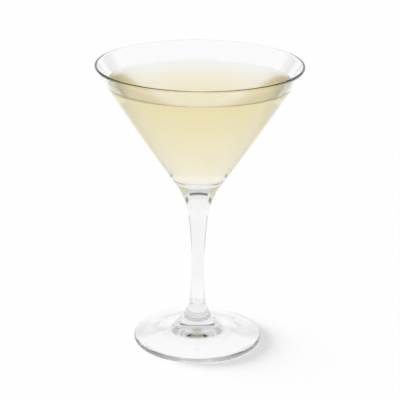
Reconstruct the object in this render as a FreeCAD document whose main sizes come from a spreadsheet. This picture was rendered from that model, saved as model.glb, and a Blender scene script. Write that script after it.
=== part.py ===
"""A cocktail glass and the drink in it, as a parametric document of two bodies.

The glass is one piece: a conical bowl with a slightly bulging side and a round bottom, a drawn stem and
a round foot, revolved about +Z from one closed section. The drink fills the bowl up to its level, and
its section is built on the same bowl outline. The origin is the centre of the foot's underside, on the
surface that the glass stands on. Lengths are in millimetres.
"""

import FreeCAD, Part

import math
import os

import Sketcher

OUT = "parts"

# alias, value, what it is
SIZES = [
    ("rim_radius", 57.9, "largest radius of the rim"),
    ("total_height", 165.0, "from the table to the top of the rim"),
    ("wall", 1.3, "thickness of the bowl's wall, square to it"),
    ("side_arc_radius", 1600.0, "radius of the bowl's slightly bulging side"),
    ("bowl_base_radius", 12.6, "outside radius where the bowl's side meets its flare"),
    ("bowl_base_height", 94.6, "height where the bowl's side meets its flare"),
    ("cavity_floor_radius", 24.0, "radius of the round bottom inside the bowl"),
    ("free_depth", 10.7, "from the top of the rim down to the drink's surface"),
    ("neck_radius", 3.58, "radius of the stem at its narrowest"),
    ("neck_height", 40.8, "height of the stem's narrowest place"),
    ("stem_arc_radius", 320.0, "radius of the stem's hollow outline above its narrowest place"),
    ("root_arc_radius", 137.0, "radius of the stem's hollow outline below its narrowest place"),
    ("foot_radius", 37.1, "largest radius of the foot"),
    ("foot_edge", 2.8, "thickness of the foot's rounded edge"),
    ("foot_flare_radius", 24.5, "radius where the stem's flare meets the foot's slope"),
    ("foot_flare_height", 4.1, "height where the stem's flare meets the foot's slope"),
    ("rest_width", 3.5, "width of the flat ring that the foot rests on"),
    ("punt_depth", 5.6, "depth of the cone-shaped hollow under the foot"),
    ("punt_tip_radius", 22.0, "radius of the hollow's round top"),
]

doc = FreeCAD.newDocument("cocktail")
V = FreeCAD.Vector


def make_sheet():
    """The spreadsheet, with one named cell for each driving dimension."""
    made = doc.addObject("Spreadsheet::Sheet", "Sizes")
    for row, (alias, value, meaning) in enumerate(SIZES, start=1):
        made.set(f"A{row}", alias)
        made.set(f"B{row}", str(value))
        made.set(f"C{row}", meaning)
        made.setAlias(f"B{row}", alias)
    doc.recompute()
    return made


sheet = make_sheet()


def size(alias):
    return float(sheet.get(alias))


# ---------------------------------------------------------------- where the outline's arcs meet


def touch(centre, radius, other_centre):
    """Where a circle that lies inside the first, with the given centre, touches it."""
    return centre + (other_centre - centre).normalize() * radius


def flare(start, lean, outer_centre, outer_radius):
    """Centre and radius of the circle that leaves start at lean and touches the outer circle from inside.

    lean is the outline's angle from the vertical, and the centre lies to the right of the outline.
    """
    right = V(math.cos(lean), -math.sin(lean), 0)
    apart = start - outer_centre
    radius = (outer_radius**2 - apart.Length**2) / (2 * (apart.dot(right) + outer_radius))
    return start + right * radius, radius


def mirrored(point):
    return V(point.x, -point.y, 0)


class Bowl:
    """The bowl's outline: its side's ends and centre, its rim's round edge and its round bottom."""

    def __init__(self):
        wall = size("wall")
        self.outer = size("side_arc_radius")
        self.inner = self.outer - wall
        self.edge = wall / 2
        self.floor = size("cavity_floor_radius")
        self.base = V(size("bowl_base_radius"), size("bowl_base_height"), 0)
        self.rim = V(size("rim_radius") - self.edge, size("total_height") - self.edge, 0)
        self.centre = self.side_centre()
        self.lean = math.asin((self.centre.y - self.base.y) / self.outer)
        outward = (self.rim - self.centre).normalize()
        self.rim_outer = self.rim + outward * self.edge
        self.rim_inner = self.rim - outward * self.edge
        drop = math.sqrt((self.inner - self.floor) ** 2 - self.centre.x**2)
        self.floor_centre = V(0, self.centre.y - drop, 0)
        self.floor_meet = touch(self.centre, self.inner, self.floor_centre)
        self.lowest = self.floor_centre - V(0, self.floor, 0)

    def side_centre(self):
        """The centre that is outer away from the base and half a wall less from the rim's centre."""
        chord = self.rim - self.base
        reach = self.outer - self.edge
        along = (self.outer**2 - reach**2 + chord.Length**2) / (2 * chord.Length)
        across = math.sqrt(self.outer**2 - along**2)
        chord.normalize()
        return self.base + chord * along + V(-chord.y, chord.x, 0) * across

    def inner_at(self, height):
        """The point of the inner side at a height."""
        return V(self.centre.x + math.sqrt(self.inner**2 - (height - self.centre.y) ** 2), height, 0)


# ---------------------------------------------------------------- sketches

START, END, CENTRE = 1, 2, 3
ORIGIN = (-1, START)
X_AXIS, Z_AXIS = -1, -2


class Section:
    """A sketch of a half section: x is the distance from the axis, and y is the height."""

    def __init__(self, body, name):
        plane = next(f for f in body.Origin.OriginFeatures if f.Role == "XZ_Plane")
        self.sketch = body.newObject("Sketcher::SketchObject", name)
        self.sketch.AttachmentSupport = (plane, [""])
        self.sketch.MapMode = "FlatFace"

    def line(self, start, end):
        return self.sketch.addGeometry(Part.LineSegment(start, end), False)

    def arc(self, centre, start, end, construction=False):
        """An arc that runs anticlockwise from start to end."""
        begin, finish = (math.atan2(p.y - centre.y, p.x - centre.x) for p in (start, end))
        if finish < begin:
            finish += 2 * math.pi
        circle = Part.Circle(centre, V(0, 0, 1), (start - centre).Length)
        return self.sketch.addGeometry(Part.ArcOfCircle(circle, begin, finish), construction)

    def constrain(self, *parts):
        return self.sketch.addConstraint(Sketcher.Constraint(*parts))

    def drive(self, name, expression, *parts):
        """A named dimension that follows an expression in the sheet's cells."""
        index = self.constrain(*parts)
        self.sketch.renameConstraint(index, name)
        self.sketch.setExpression(f"Constraints.{name}", expression)

    def drive_radius(self, name, expression, arc):
        self.drive(name, expression, "Radius", arc, self.sketch.Geometry[arc].Radius)

    def drive_out(self, name, expression, geometry, point):
        value = self.sketch.getPoint(geometry, point).x
        self.drive(name, expression, "DistanceX", *ORIGIN, geometry, point, value)

    def drive_up(self, name, expression, geometry, point):
        value = self.sketch.getPoint(geometry, point).y
        self.drive(name, expression, "DistanceY", *ORIGIN, geometry, point, value)


def draw_side(section, bowl, construction=False):
    """The bowl's outer side and its rim's round edge, which fix the side's centre."""
    side = section.arc(bowl.centre, bowl.base, bowl.rim_outer, construction)
    rim = section.arc(bowl.rim, bowl.rim_outer, bowl.rim_inner, construction)
    section.constrain("Tangent", side, END, rim, START)
    section.drive_out("base_out", "Sizes.bowl_base_radius", side, START)
    section.drive_up("base_up", "Sizes.bowl_base_height", side, START)
    section.drive_radius("side_arc", "Sizes.side_arc_radius", side)
    section.drive_radius("rim_edge", "Sizes.wall / 2", rim)
    section.drive_out("rim_out", "Sizes.rim_radius - Sizes.wall / 2", rim, CENTRE)
    section.drive_up("rim_up", "Sizes.total_height - Sizes.wall / 2", rim, CENTRE)
    return side, rim


def draw_inside(section, bowl, side, top):
    """The bowl's inner side up to top, concentric with its outer side, and its round bottom."""
    inside = section.arc(bowl.centre, bowl.floor_meet, top)
    floor = section.arc(bowl.floor_centre, bowl.lowest, bowl.floor_meet)
    section.constrain("Coincident", inside, CENTRE, side, CENTRE)
    section.constrain("Tangent", inside, START, floor, END)
    section.constrain("PointOnObject", floor, CENTRE, Z_AXIS)
    section.constrain("PointOnObject", floor, START, Z_AXIS)
    section.drive_radius("floor_arc", "Sizes.cavity_floor_radius", floor)
    return inside, floor


def draw_stem(section, bowl, side):
    """The flare under the bowl and the stem's upper outline, down to its narrowest place."""
    neck = V(size("neck_radius"), size("neck_height"), 0)
    radius = size("stem_arc_radius")
    centre = neck + V(radius, 0, 0)
    flare_centre, _ = flare(bowl.base, bowl.lean, centre, radius)
    meet = touch(centre, radius, flare_centre)
    bowl_flare = section.arc(flare_centre, bowl.base, meet)
    stem = section.arc(centre, meet, neck)
    section.constrain("Tangent", bowl_flare, START, side, START)
    section.constrain("Tangent", stem, START, bowl_flare, END)
    section.constrain("Horizontal", stem, END, stem, CENTRE)
    section.drive_out("neck_out", "Sizes.neck_radius", stem, END)
    section.drive_up("neck_up", "Sizes.neck_height", stem, END)
    section.drive_radius("stem_arc", "Sizes.stem_arc_radius", stem)
    return stem, neck


def draw_foot(section, stem, neck):
    """The stem's root, the foot's flare, its sloping top, its round edge and the ring it rests on."""
    edge = size("foot_edge") / 2
    edge_centre = V(size("foot_radius") - edge, edge, 0)
    slope_start = V(size("foot_flare_radius"), size("foot_flare_height"), 0)
    run = slope_start - edge_centre
    turn = math.atan2(run.y, run.x) - math.acos(edge / run.Length)
    slope_end = edge_centre + V(math.cos(turn), math.sin(turn), 0) * edge
    lean = math.atan2(slope_end.x - slope_start.x, slope_start.y - slope_end.y)

    radius = size("root_arc_radius")
    centre = neck + V(radius, 0, 0)
    flare_centre, _ = flare(mirrored(slope_start), lean, mirrored(centre), radius)
    flare_centre = mirrored(flare_centre)
    meet = touch(centre, radius, flare_centre)
    rest_out = V(edge_centre.x, 0, 0)
    rest_in = rest_out - V(size("rest_width"), 0, 0)

    root = section.arc(centre, neck, meet)
    foot_flare = section.arc(flare_centre, meet, slope_start)
    slope = section.line(slope_end, slope_start)
    foot_edge = section.arc(edge_centre, rest_out, slope_end)
    rest = section.line(rest_in, rest_out)
    section.constrain("Coincident", root, START, stem, END)
    section.constrain("Horizontal", root, START, root, CENTRE)
    section.constrain("Tangent", foot_flare, START, root, END)
    section.constrain("Tangent", slope, END, foot_flare, END)
    section.constrain("Tangent", foot_edge, END, slope, START)
    section.constrain("Tangent", rest, END, foot_edge, START)
    section.constrain("PointOnObject", rest, START, X_AXIS)
    section.constrain("Horizontal", rest)
    section.drive_radius("root_arc", "Sizes.root_arc_radius", root)
    section.drive_out("flare_out", "Sizes.foot_flare_radius", slope, END)
    section.drive_up("flare_up", "Sizes.foot_flare_height", slope, END)
    section.drive_radius("edge_arc", "Sizes.foot_edge / 2", foot_edge)
    section.drive_out("edge_out", "Sizes.foot_radius - Sizes.foot_edge / 2", foot_edge, CENTRE)
    section.drive("rest_ring", "Sizes.rest_width", "DistanceX", rest, START, rest, END, size("rest_width"))
    return rest, rest_in


def draw_punt(section, rest, rest_in):
    """The hollow under the foot: a shallow cone from the rest ring, with a round top on the axis."""
    depth = size("punt_depth")
    radius = size("punt_tip_radius")
    centre = V(0, depth - radius, 0)
    run = rest_in - centre
    turn = math.atan2(run.y, run.x) + math.acos(radius / run.Length)
    meet = centre + V(math.cos(turn), math.sin(turn), 0) * radius
    cone = section.line(rest_in, meet)
    tip = section.arc(centre, meet, V(0, depth, 0))
    section.constrain("Coincident", cone, START, rest, START)
    section.constrain("Tangent", cone, END, tip, START)
    section.constrain("PointOnObject", tip, CENTRE, Z_AXIS)
    section.constrain("PointOnObject", tip, END, Z_AXIS)
    section.drive_radius("punt_tip", "Sizes.punt_tip_radius", tip)
    section.drive_up("punt_up", "Sizes.punt_depth", tip, END)
    return tip, V(0, depth, 0)


# ---------------------------------------------------------------- the two pieces


def revolve(body, section, name):
    """Turns a section right round the body's vertical axis."""
    made = body.newObject("PartDesign::Revolution", name)
    made.Profile = section.sketch
    made.ReferenceAxis = (section.sketch, ["V_Axis"])
    made.Angle = 360


def make_body(label):
    body = doc.addObject("PartDesign::Body", label)
    body.Label = label
    body.Placement = FreeCAD.Placement()
    return body


def make_glass():
    """The glass, from one closed section: rest ring, foot, stem, bowl, rim, cavity and punt."""
    body = make_body("glass")
    section = Section(body, "glass_section")
    bowl = Bowl()
    side, rim = draw_side(section, bowl)
    inside, floor = draw_inside(section, bowl, side, bowl.rim_inner)
    section.constrain("Tangent", rim, END, inside, END)
    stem, neck = draw_stem(section, bowl, side)
    rest, rest_in = draw_foot(section, stem, neck)
    punt, punt_top = draw_punt(section, rest, rest_in)
    core = section.line(bowl.lowest, punt_top)
    section.constrain("Coincident", core, START, floor, START)
    section.constrain("Coincident", core, END, punt, END)
    revolve(body, section, "glass_turned")
    return body, section


def make_drink():
    """The drink: the space inside the bowl up to the level."""
    body = make_body("drink")
    section = Section(body, "drink_section")
    bowl = Bowl()
    level = size("total_height") - size("free_depth")
    brim = bowl.inner_at(level)
    side, rim = draw_side(section, bowl, construction=True)
    section.constrain("Horizontal", rim, END, rim, CENTRE)
    inside, floor = draw_inside(section, bowl, side, brim)
    core = section.line(bowl.lowest, V(0, level, 0))
    surface = section.line(V(0, level, 0), brim)
    section.constrain("Coincident", core, START, floor, START)
    section.constrain("Coincident", surface, START, core, END)
    section.constrain("Coincident", surface, END, inside, END)
    section.constrain("Horizontal", surface)
    section.constrain("PointOnObject", core, END, Z_AXIS)
    section.drive_radius("inside_arc", "Sizes.side_arc_radius - Sizes.wall", inside)
    section.drive_up("level", "Sizes.total_height - Sizes.free_depth", surface, END)
    revolve(body, section, "drink_turned")
    return body, section


def check(body, section):
    """Stops the macro unless the body is one valid solid from a fully constrained section."""
    shape = body.Shape
    if shape.isNull() or not shape.isValid() or len(shape.Solids) != 1:
        raise RuntimeError(f"{body.Label} isn't one valid solid")
    if section.sketch.solve() != 0 or not section.sketch.FullyConstrained:
        raise RuntimeError(f"{section.sketch.Name} isn't fully constrained")


def main():
    pieces = [make_glass(), make_drink()]
    doc.recompute()
    for made in doc.Objects:
        if {"Invalid", "Error"} & set(made.State):
            raise RuntimeError(f"{made.Name} failed: {made.State}")
    for body, section in pieces:
        check(body, section)
    os.makedirs(OUT, exist_ok=True)
    for body, _ in pieces:
        body.Shape.exportStep(os.path.join(OUT, f"{body.Label}.step"))
        print(f"{body.Label}: {body.Shape.Volume / 1000:.1f} cm3")


main()
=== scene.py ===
"""The looks of a stemmed cocktail glass and the pale drink in it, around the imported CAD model.

Both pieces are turned meshes. Their outline is the CAD's own, worked out from the same sizes, in metres.
"""
import math

import bpy
from mathutils import Matrix, Vector


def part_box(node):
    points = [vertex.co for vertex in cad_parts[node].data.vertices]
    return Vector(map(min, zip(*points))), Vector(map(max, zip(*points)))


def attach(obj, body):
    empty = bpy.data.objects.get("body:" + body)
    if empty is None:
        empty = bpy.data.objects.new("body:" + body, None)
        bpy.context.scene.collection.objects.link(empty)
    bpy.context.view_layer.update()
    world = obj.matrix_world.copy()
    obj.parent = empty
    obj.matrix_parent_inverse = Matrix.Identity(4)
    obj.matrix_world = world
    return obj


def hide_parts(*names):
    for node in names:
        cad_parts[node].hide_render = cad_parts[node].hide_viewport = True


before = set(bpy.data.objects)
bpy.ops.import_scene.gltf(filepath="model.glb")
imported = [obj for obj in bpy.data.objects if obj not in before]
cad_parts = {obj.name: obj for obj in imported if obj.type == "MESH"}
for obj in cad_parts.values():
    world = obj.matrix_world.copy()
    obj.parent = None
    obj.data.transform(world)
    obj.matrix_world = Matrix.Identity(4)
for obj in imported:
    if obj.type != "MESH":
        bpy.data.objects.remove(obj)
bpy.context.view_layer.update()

# ---------------------------------------------------------------- sizes, in metres

MM = 0.001
GLASS_LOW, GLASS_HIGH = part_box("glass")
RIM_RADIUS = min(GLASS_HIGH[0], GLASS_HIGH[1], -GLASS_LOW[0], -GLASS_LOW[1])
HEIGHT = GLASS_HIGH[2]
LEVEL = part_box("drink")[1][2]
WALL = 1.3 * MM
SIDE_ARC = 1600 * MM
BASE = Vector((12.6 * MM, 94.6 * MM))
FLOOR_ARC = 24 * MM
NECK = Vector((3.58 * MM, 40.8 * MM))
STEM_ARC = 320 * MM
ROOT_ARC = 137 * MM
FOOT_RADIUS = 37.1 * MM
FOOT_EDGE = 2.8 * MM
SLOPE_START = Vector((24.5 * MM, 4.1 * MM))
REST_WIDTH = 3.5 * MM
PUNT_DEPTH = 5.6 * MM
PUNT_TIP = 22 * MM
WALL_REACH = 0.1 * MM
MENISCUS_RISE = 1.4 * MM
MENISCUS_WIDTH = 1.6 * MM
SHADE_FOOT = 0.1 * MM
SHADE_HEIGHT = 5 * MM
TURNS = 256

GLASS_IOR = 1.5
DRINK_IOR = 1.34
# the colour each leaves, and how much it takes off for each metre
GLASS_TINT = ((0.05, 0.1, 0.08), 5.0)
DRINK_TINT = ((0.894, 0.738, 0.02), 8.4)
# waves for each metre of glass and their depth, and the scale and range of the drink's haze
GLASS_WAVES = 45.0
GLASS_WAVE_DEPTH = 0.02 * MM
HAZE_SCALE = 90.0
HAZE_ROUGHNESS = (0.3, 0.42)

# degrees above the horizon, and how bright the studio is there
STUDIO = [(0, 0.99), (7, 0.98), (10, 0.93), (16, 0.89), (24, 0.85)]
STUDIO += [(32, 0.72), (60, 0.72), (70, 0.5), (90, 0.45)]
# flags: degrees to either side of the back, half width, height, half height, share of light taken away
FLAGS = [(0.0, 22.0, 23.0, 3.5, 0.92), (56.0, 24.0, 14.5, 5.0, 0.75)]
FLAG_EDGE = 3.0
TABLE_HALF_WIDTH = 40.0
TABLE_DROP = 0.2 * MM
TABLE_PAINT = 0.25
TABLE_ROUGHNESS = 0.9
TABLE_LIGHT = 0.54
# painted shadow, seen only through the glass: the ring round the glass where the table is painted darker,
# in metres from the middle, and how much of that painted shade is left beyond it
PAINTED_SHADOW_FADE = (0.045, 0.1)
PAINTED_SHADOW_RETURN = (0.25, 0.4)
PAINTED_SHADOW_DEPTH = 0.05
PAINTED_SHADOW_LEFT = 0.2
# painted dark patch on the table on either side, seen only in the glass as a painted dark reflection:
# degrees from the back and half width, where it begins and ends, its share
PAINTED_DARK_HEADING = (67.0, 14.0)
PAINTED_DARK_START = (0.13, 0.22)
PAINTED_DARK_END = (0.45, 0.6)
PAINTED_DARK_SHARE = 0.6
# the key lamp: its strength, how wide it is, its heading from the back and its height, in degrees
KEY_LIGHT = 12.0
KEY_SPREAD = 40.0
KEY_HEADING = -62.0
KEY_RISE = 17.0

CAMERA_PLACE = (0, -0.7552, 0.3576)
CAMERA_LENS = 126.92
CAMERA_SENSOR = 36.0
CAMERA_REACH = 200.0
CAMERA_DOWN = math.radians(19.83)
CAMERA_ROLL = math.radians(0.617)
CAMERA_TURN = math.radians(0.0626)

# ---------------------------------------------------------------- the outline


def touch(centre, radius, other_centre):
    """Where a circle that lies inside the first, with the given centre, touches it."""
    return centre + (other_centre - centre).normalized() * radius


def flare_centre(start, lean, outer_centre, outer_radius):
    """Centre of the circle that leaves start at lean from the vertical and touches the outer circle."""
    right = Vector((math.cos(lean), -math.sin(lean)))
    apart = start - outer_centre
    radius = (outer_radius**2 - apart.length_squared) / (2 * (apart.dot(right) + outer_radius))
    return start + right * radius


def flipped(point):
    """The point upside down, for a flare that narrows upwards."""
    return Vector((point.x, -point.y))


def arc(centre, start, end, steps):
    """Points along the shorter way round a circle from start to end, without start itself."""
    radius = (start - centre).length
    begin = math.atan2(start.y - centre.y, start.x - centre.x)
    turn = math.atan2(end.y - centre.y, end.x - centre.x) - begin
    turn = (turn + math.pi) % (2 * math.pi) - math.pi
    angles = [begin + turn * i / steps for i in range(1, steps + 1)]
    return [centre + Vector((math.cos(a), math.sin(a))) * radius for a in angles]


def line(start, end, steps):
    """Points along a straight line from start to end, without start itself."""
    return [start.lerp(end, i / steps) for i in range(1, steps + 1)]


EDGE = WALL / 2
RIM = Vector((RIM_RADIUS - EDGE, HEIGHT - EDGE))


def side_centre():
    """The centre of the bowl's side, from its base and its rim."""
    chord = RIM - BASE
    reach = SIDE_ARC - EDGE
    along = (SIDE_ARC**2 - reach**2 + chord.length_squared) / (2 * chord.length)
    across = math.sqrt(SIDE_ARC**2 - along**2)
    ahead = chord.normalized()
    return BASE + ahead * along + Vector((-ahead.y, ahead.x)) * across


SIDE = side_centre()
INNER_ARC = SIDE_ARC - WALL
OUTWARD = (RIM - SIDE).normalized()
FLOOR = Vector((0, SIDE.y - math.sqrt((INNER_ARC - FLOOR_ARC) ** 2 - SIDE.x**2)))


def inner_at(height, offset=0.0):
    """The point of the bowl's inner side at a height, offset into the wall."""
    radius = INNER_ARC + offset
    return Vector((SIDE.x + math.sqrt(radius**2 - (height - SIDE.y) ** 2), height))


def floor_outline(offset):
    """The bowl's round bottom from the axis out to the side, offset into the glass."""
    lowest = FLOOR - Vector((0, FLOOR_ARC + offset))
    meet = touch(SIDE, INNER_ARC + offset, FLOOR)
    return [lowest] + arc(FLOOR, lowest, meet, 36)


CONTACT = inner_at(LEVEL + MENISCUS_RISE)


def slope_foot(edge, half):
    """Where the foot's straight slope, which starts at SLOPE_START, touches its round edge."""
    run = SLOPE_START - edge
    turn = math.atan2(run.y, run.x) - math.acos(half / run.length)
    return edge + Vector((math.cos(turn), math.sin(turn))) * half


def punt_outline(rest_in):
    """The hollow under the foot: a round top on the axis, then a cone down to the ring it rests on."""
    top = Vector((0, PUNT_DEPTH))
    centre = top - Vector((0, PUNT_TIP))
    outward = rest_in - centre
    turn = math.atan2(outward.y, outward.x) + math.acos(PUNT_TIP / outward.length)
    tip_end = centre + Vector((math.cos(turn), math.sin(turn))) * PUNT_TIP
    return [top] + arc(centre, top, tip_end, 8) + line(tip_end, rest_in, 28)


def foot_outline():
    """The outline from the axis under the foot, round its edge and up to the stem's narrowest place."""
    half = FOOT_EDGE / 2
    edge = Vector((FOOT_RADIUS - half, half))
    slope_end = slope_foot(edge, half)
    lean = math.atan2(slope_end.x - SLOPE_START.x, SLOPE_START.y - slope_end.y)
    root = NECK + Vector((ROOT_ARC, 0))
    flare = flipped(flare_centre(flipped(SLOPE_START), lean, flipped(root), ROOT_ARC))
    meet = touch(root, ROOT_ARC, flare)
    rest_out = Vector((edge.x, 0))
    rest_in = rest_out - Vector((REST_WIDTH, 0))
    widest = edge + Vector((half, 0))
    points = punt_outline(rest_in) + line(rest_in, rest_out, 5)
    points += arc(edge, rest_out, widest, 12) + arc(edge, widest, slope_end, 12)
    points += line(slope_end, SLOPE_START, 14)
    points += arc(flare, SLOPE_START, meet, 40)
    return points + arc(root, meet, NECK, 16)


def glass_outline():
    """The whole outline of the glass, and how many of its rings come before the wetted inside."""
    stem = NECK + Vector((STEM_ARC, 0))
    lean = math.asin((SIDE.y - BASE.y) / SIDE_ARC)
    flare = flare_centre(BASE, lean, stem, STEM_ARC)
    meet = touch(stem, STEM_ARC, flare)
    points = foot_outline() + arc(stem, NECK, meet, 28) + arc(flare, meet, BASE, 36)
    rim_outer, rim_inner = RIM + OUTWARD * EDGE, RIM - OUTWARD * EDGE
    rim_top = RIM + Vector((-OUTWARD.y, OUTWARD.x)) * EDGE
    points += arc(SIDE, BASE, rim_outer, 44)
    points += arc(RIM, rim_outer, rim_top, 8) + arc(RIM, rim_top, rim_inner, 8)
    points += arc(SIDE, rim_inner, CONTACT, 8)
    dry = len(points)
    wet = floor_outline(0)
    points += arc(SIDE, CONTACT, wet[-1], 40) + wet[-2::-1]
    return points, dry


def drink_outline():
    """The drink's outline, reaching into the wall, and how many of its rings lie inside the wall."""
    below = floor_outline(WALL_REACH)
    brim = inner_at(CONTACT.y, WALL_REACH)
    points = below + arc(SIDE, below[-1], brim, 40) + [CONTACT]
    sunk = len(points)
    steps = 24
    # the steps are shorter towards the wall, and the raised edge has died away by the last one
    for i in range(1, steps + 1):
        inward = 5 * MENISCUS_WIDTH * (i / steps) ** 1.5
        rise = MENISCUS_RISE * math.exp(-inward / MENISCUS_WIDTH) * (1 - (i / steps) ** 3)
        points.append(Vector((CONTACT.x - inward, LEVEL + rise)))
    return points + line(points[-1], Vector((0, LEVEL)), 20), sunk


# ---------------------------------------------------------------- meshes


def turned(name, outline, material):
    """A closed mesh from an outline that starts and ends on the axis, turned about Z."""
    verts = [(0, 0, outline[0].y)]
    for point in outline[1:-1]:
        for i in range(TURNS):
            angle = 2 * math.pi * i / TURNS
            verts.append((point.x * math.cos(angle), point.x * math.sin(angle), point.y))
    verts.append((0, 0, outline[-1].y))
    rings = len(outline) - 2
    faces = [(0, 1 + (i + 1) % TURNS, 1 + i) for i in range(TURNS)]
    for ring in range(rings - 1):
        low, high = 1 + ring * TURNS, 1 + (ring + 1) * TURNS
        for i in range(TURNS):
            j = (i + 1) % TURNS
            faces.append((low + i, low + j, high + j, high + i))
    low, top = 1 + (rings - 1) * TURNS, len(verts) - 1
    faces += [(low + i, low + (i + 1) % TURNS, top) for i in range(TURNS)]
    mesh = bpy.data.meshes.new(name)
    mesh.from_pydata(verts, [], faces)
    mesh.update()
    mesh.materials.append(material)
    mesh.polygons.foreach_set("use_smooth", [True] * len(faces))
    piece = bpy.data.objects.new(name, mesh)
    bpy.context.scene.collection.objects.link(piece)
    return piece


# ---------------------------------------------------------------- materials


def new_material(name):
    """A new material, its node tree and its one shader."""
    material = bpy.data.materials.new(name)
    material.use_nodes = True
    nodes = material.node_tree.nodes
    return material, material.node_tree, nodes["Principled BSDF"]


def noise(tree, scale, detail):
    """Smooth noise in the piece's own space, with scale features for each metre. Gives its output."""
    place = tree.nodes.new("ShaderNodeTexCoord").outputs["Object"]
    node = tree.nodes.new("ShaderNodeTexNoise")
    node.inputs["Scale"].default_value = scale
    node.inputs["Detail"].default_value = detail
    tree.links.new(place, node.inputs["Vector"])
    return node.outputs["Fac"]


def uneven(tree, shader, scale, depth):
    """Gives a shader's surface a slight waviness of a depth in metres."""
    bump = tree.nodes.new("ShaderNodeBump")
    bump.inputs["Distance"].default_value = depth
    tree.links.new(noise(tree, scale, 1.0), bump.inputs["Height"])
    tree.links.new(bump.outputs["Normal"], shader.inputs["Normal"])


def blotchy(tree, shader, scale, smooth, rough):
    """Lets a shader's roughness wander between two values."""
    node = tree.nodes.new("ShaderNodeMapRange")
    node.inputs["To Min"].default_value = smooth
    node.inputs["To Max"].default_value = rough
    tree.links.new(noise(tree, scale, 3.0), node.inputs["Value"])
    tree.links.new(node.outputs["Result"], shader.inputs["Roughness"])


def refract_by_face(tree, shader, attribute, elsewhere, there):
    """Sets the refraction where a face attribute is one, and elsewhere. Only ratios across a face count."""
    reader = tree.nodes.new("ShaderNodeAttribute")
    reader.attribute_name = attribute
    node = tree.nodes.new("ShaderNodeMapRange")
    node.inputs["To Min"].default_value = elsewhere
    node.inputs["To Max"].default_value = there
    tree.links.new(reader.outputs["Fac"], node.inputs["Value"])
    tree.links.new(node.outputs["Result"], shader.inputs["IOR"])


def clear_material(name, ior, tint):
    """A clear material with a tint, which is a colour and a density for each metre, all through it."""
    material, tree, shader = new_material(name)
    shader.inputs["Base Color"].default_value = (1, 1, 1, 1)
    shader.inputs["Roughness"].default_value = 0.0
    shader.inputs["Transmission Weight"].default_value = 1.0
    shader.inputs["IOR"].default_value = ior
    colour, density = tint
    volume = tree.nodes.new("ShaderNodeVolumeAbsorption")
    volume.inputs["Color"].default_value = (*colour, 1)
    volume.inputs["Density"].default_value = density
    tree.links.new(volume.outputs["Volume"], tree.nodes["Material Output"].inputs["Volume"])
    return material, tree, shader


def glass_material():
    """Glass, which the drink makes bend light less where it wets the wall."""
    material, tree, shader = clear_material("clear_glass", GLASS_IOR, GLASS_TINT)
    refract_by_face(tree, shader, "wetted", GLASS_IOR, GLASS_IOR / DRINK_IOR)
    uneven(tree, shader, GLASS_WAVES, GLASS_WAVE_DEPTH)
    return material


def drink_material():
    """The drink: its open surface is hazy and bends light, and the wall round it does so for its sides."""
    material, tree, shader = clear_material("pale_drink", DRINK_IOR, DRINK_TINT)
    refract_by_face(tree, shader, "open_surface", 1.0, DRINK_IOR)
    blotchy(tree, shader, HAZE_SCALE, *HAZE_ROUGHNESS)
    return material


def mark_faces(piece, attribute, first):
    """Sets a face attribute to one from a face on, and to zero before it."""
    faces = len(piece.data.polygons)
    mark = piece.data.attributes.new(attribute, "FLOAT", "FACE")
    mark.data.foreach_set("value", [float(i >= first) for i in range(faces)])


# ---------------------------------------------------------------- the pieces

outline, dry_rings = glass_outline()
glass = turned("glass_shell", outline, glass_material())
mark_faces(glass, "wetted", TURNS * (dry_rings - 1))
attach(glass, "root")
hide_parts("glass")

outline, sunk_rings = drink_outline()
drink = turned("drink_body", outline, drink_material())
mark_faces(drink, "open_surface", TURNS * (sunk_rings - 1))
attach(drink, "root")
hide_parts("drink")

# ---------------------------------------------------------------- floor, light and camera


def math_node(tree, operation, *values):
    """A Math node, whose inputs are numbers or other nodes' outputs. Gives its output."""
    node = tree.nodes.new("ShaderNodeMath")
    node.operation = operation
    for socket, value in zip(node.inputs, values):
        if isinstance(value, float):
            socket.default_value = value
        else:
            tree.links.new(value, socket)
    return node.outputs["Value"]


def faded(tree, value, start, end, first, last):
    """A Map Range node that runs smoothly from first at start to last at end. Gives its output."""
    node = tree.nodes.new("ShaderNodeMapRange")
    node.interpolation_type = "SMOOTHSTEP"
    for name, number in zip(("From Min", "From Max", "To Min", "To Max"), (start, end, first, last)):
        node.inputs[name].default_value = number
    tree.links.new(value, node.inputs["Value"])
    return node.outputs["Result"]


def window(tree, angle, middle, half):
    """One inside half a width of middle and nothing outside, with soft edges. Angles are in degrees."""
    away = math_node(tree, "SUBTRACT", angle, math.radians(middle))
    away = math_node(tree, "ABSOLUTE", away)
    return faded(tree, away, math.radians(half - FLAG_EDGE), math.radians(half + FLAG_EDGE), 1.0, 0.0)


def painted_shade_in_glass(tree):
    """How much of the table's light is taken away at a place, as painted shade that only the glass sees:
    dark patches painted on either side, and a faint painted shadow ring round the glass.
    """
    place = tree.nodes.new("ShaderNodeNewGeometry").outputs["Position"]
    parts = tree.nodes.new("ShaderNodeSeparateXYZ")
    tree.links.new(place, parts.inputs["Vector"])
    heading = math_node(tree, "ARCTAN2", parts.outputs["X"], parts.outputs["Y"])
    either_side = math_node(tree, "ABSOLUTE", heading)
    length = tree.nodes.new("ShaderNodeVectorMath")
    length.operation = "LENGTH"
    tree.links.new(place, length.inputs[0])
    away = length.outputs["Value"]
    # painted dark patches on either side of the table, seen only in the glass as a painted dark reflection
    across = window(tree, either_side, *PAINTED_DARK_HEADING)
    along = math_node(tree, "MULTIPLY", faded(tree, away, *PAINTED_DARK_START, 0.0, PAINTED_DARK_SHARE), across)
    painted_dark = math_node(tree, "MULTIPLY", along, faded(tree, away, *PAINTED_DARK_END, 1.0, 0.0))
    # a faint painted shadow ring round the glass, seen only through the glass
    near = faded(tree, away, *PAINTED_SHADOW_FADE, 0.0, PAINTED_SHADOW_DEPTH)
    painted_shadow = math_node(tree, "MULTIPLY", near, faded(tree, away, *PAINTED_SHADOW_RETURN, 1.0, PAINTED_SHADOW_LEFT))
    return math_node(tree, "MAXIMUM", painted_dark, painted_shadow)


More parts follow.
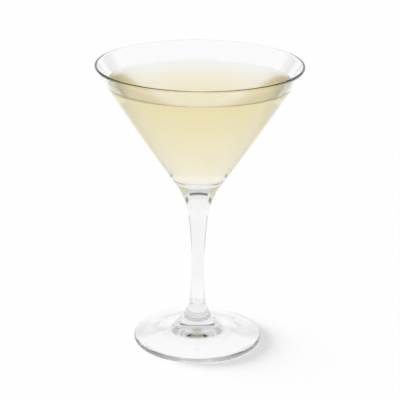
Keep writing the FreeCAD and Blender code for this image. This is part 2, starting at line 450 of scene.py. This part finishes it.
def floor_material():
    """A pale light table. The camera sees it plain, and the glass sees it with painted shade: dark patches
    and a faint painted shadow ring.
    """
    material, tree, shader = new_material("pale_floor")
    shader.inputs["Base Color"].default_value = (TABLE_PAINT, TABLE_PAINT, TABLE_PAINT, 1)
    shader.inputs["Roughness"].default_value = TABLE_ROUGHNESS
    shader.inputs["Specular IOR Level"].default_value = 0.0
    shader.inputs["Emission Color"].default_value = (1, 1, 1, 1)
    shader.inputs["Emission Strength"].default_value = TABLE_LIGHT
    # painted shade: rays that are not camera rays see the table darkened toward black
    seen_by_camera = tree.nodes.new("ShaderNodeLightPath").outputs["Is Camera Ray"]
    in_glass = math_node(tree, "SUBTRACT", 1.0, seen_by_camera)
    darkened = math_node(tree, "MULTIPLY", painted_shade_in_glass(tree), in_glass)
    black = tree.nodes.new("ShaderNodeBsdfDiffuse")
    black.inputs["Color"].default_value = (0, 0, 0, 1)
    mix = tree.nodes.new("ShaderNodeMixShader")
    tree.links.new(darkened, mix.inputs["Fac"])
    tree.links.new(shader.outputs["BSDF"], mix.inputs[1])
    tree.links.new(black.outputs["BSDF"], mix.inputs[2])
    tree.links.new(mix.outputs["Shader"], tree.nodes["Material Output"].inputs["Surface"])
    return material


def add_floor():
    """The table, just under the glass."""
    mesh = bpy.data.meshes.new("floor")
    sides = ((-1, -1), (1, -1), (1, 1), (-1, 1))
    corners = [(x * TABLE_HALF_WIDTH, y * TABLE_HALF_WIDTH, -TABLE_DROP) for x, y in sides]
    mesh.from_pydata(corners, [], [(0, 1, 2, 3)])
    mesh.materials.append(floor_material())
    floor = bpy.data.objects.new("floor", mesh)
    bpy.context.scene.collection.objects.link(floor)


def studio_ramp(tree, elevation):
    """How bright the studio is at an elevation, alike all round."""
    ramp = tree.nodes.new("ShaderNodeValToRGB")
    stops = ramp.color_ramp.elements
    while len(stops) < len(STUDIO):
        stops.new(1.0)
    for stop, (degrees, light) in zip(stops, STUDIO):
        stop.position = degrees / 90
        stop.color = (light, light, light, 1)
    share = math_node(tree, "DIVIDE", elevation, math.pi / 2)
    tree.links.new(share, ramp.inputs["Fac"])
    return ramp.outputs["Color"]


def add_world():
    """A bright studio with dark flags, which the glass and the drink show at their edges."""
    world = bpy.data.worlds.new("studio")
    world.use_nodes = True
    bpy.context.scene.world = world
    tree = world.node_tree
    coords = tree.nodes.new("ShaderNodeTexCoord")
    parts = tree.nodes.new("ShaderNodeSeparateXYZ")
    tree.links.new(coords.outputs["Generated"], parts.inputs["Vector"])
    elevation = math_node(tree, "ARCSINE", parts.outputs["Z"])
    heading = math_node(tree, "ARCTAN2", parts.outputs["X"], parts.outputs["Y"])
    either_side = math_node(tree, "ABSOLUTE", heading)
    light = studio_ramp(tree, elevation)
    for middle, half_width, height, half_height, dark in FLAGS:
        across = window(tree, either_side, middle, half_width)
        up = window(tree, elevation, height, half_height)
        darkened = math_node(tree, "MULTIPLY", across, up)
        left = math_node(tree, "MULTIPLY_ADD", darkened, -dark, 1.0)
        light = math_node(tree, "MULTIPLY", light, left)
    background = tree.nodes["Background"]
    background.inputs["Color"].default_value = (1, 1, 1, 1)
    tree.links.new(light, background.inputs["Strength"])


def add_sun(name, strength, spread, heading, height):
    """A lamp very far away, which lights the floor but isn't seen in the glass. Angles are in degrees."""
    lamp = bpy.data.lights.new(name, "SUN")
    lamp.energy = strength
    lamp.angle = math.radians(spread)
    sun = bpy.data.objects.new(name, lamp)
    bpy.context.scene.collection.objects.link(sun)
    turn, rise = math.radians(heading), math.radians(height)
    towards = Vector((math.sin(turn) * math.cos(rise), math.cos(turn) * math.cos(rise), math.sin(rise)))
    sun.matrix_world = towards.to_track_quat("Z", "Y").to_matrix().to_4x4()
    sun.visible_glossy = False
    sun.visible_transmission = False
    return sun


def add_shade():
    """Half a ring at the foot's edge that only the key lamp sees: the edge bends that lamp's light away."""
    mesh = bpy.data.meshes.new("edge_shade")
    radius = FOOT_RADIUS - FOOT_EDGE / 2
    away = math.radians(-90 - KEY_HEADING)
    turns = [away + math.pi * (i / TURNS - 0.5) for i in range(TURNS + 1)]
    heights = (SHADE_FOOT, SHADE_HEIGHT)
    verts = [(radius * math.cos(a), radius * math.sin(a), z) for a in turns for z in heights]
    faces = [(2 * i, 2 * i + 2, 2 * i + 3, 2 * i + 1) for i in range(TURNS)]
    mesh.from_pydata(verts, [], faces)
    mesh.materials.append(bpy.data.materials["pale_floor"])
    shade = bpy.data.objects.new("edge_shade", mesh)
    bpy.context.scene.collection.objects.link(shade)
    shade.visible_camera = shade.visible_diffuse = False
    shade.visible_glossy = shade.visible_transmission = shade.visible_volume_scatter = False
    return shade


def add_lights():
    """The key lamp, whose light only the half ring stops."""
    key = add_sun("key", KEY_LIGHT, KEY_SPREAD, KEY_HEADING, KEY_RISE)
    blockers = bpy.data.collections.new("key_blockers")
    blockers.objects.link(add_shade())
    key.light_linking.blocker_collection = blockers


def add_camera():
    """The camera, in front and a little above, looking down at the glass."""
    lens = bpy.data.cameras.new("camera")
    lens.sensor_width = CAMERA_SENSOR
    lens.lens = CAMERA_LENS
    lens.clip_end = CAMERA_REACH
    camera = bpy.data.objects.new("camera", lens)
    bpy.context.scene.collection.objects.link(camera)
    camera.matrix_world = (
        Matrix.Translation(CAMERA_PLACE)
        @ Matrix.Rotation(-CAMERA_TURN, 4, "Z")
        @ Matrix.Rotation(math.pi / 2 - CAMERA_DOWN, 4, "X")
        @ Matrix.Rotation(CAMERA_ROLL, 4, "Z")
    )
    bpy.context.scene.camera = camera


add_floor()
add_world()
add_lights()
add_camera()

scene = bpy.context.scene
scene.view_settings.view_transform = "Standard"
scene.cycles.max_bounces = 32
scene.cycles.transmission_bounces = 32
scene.cycles.glossy_bounces = 16
scene.cycles.transparent_max_bounces = 32
scene.cycles.caustics_reflective = True
scene.cycles.caustics_refractive = True
scene.cycles.blur_glossy = 0.0
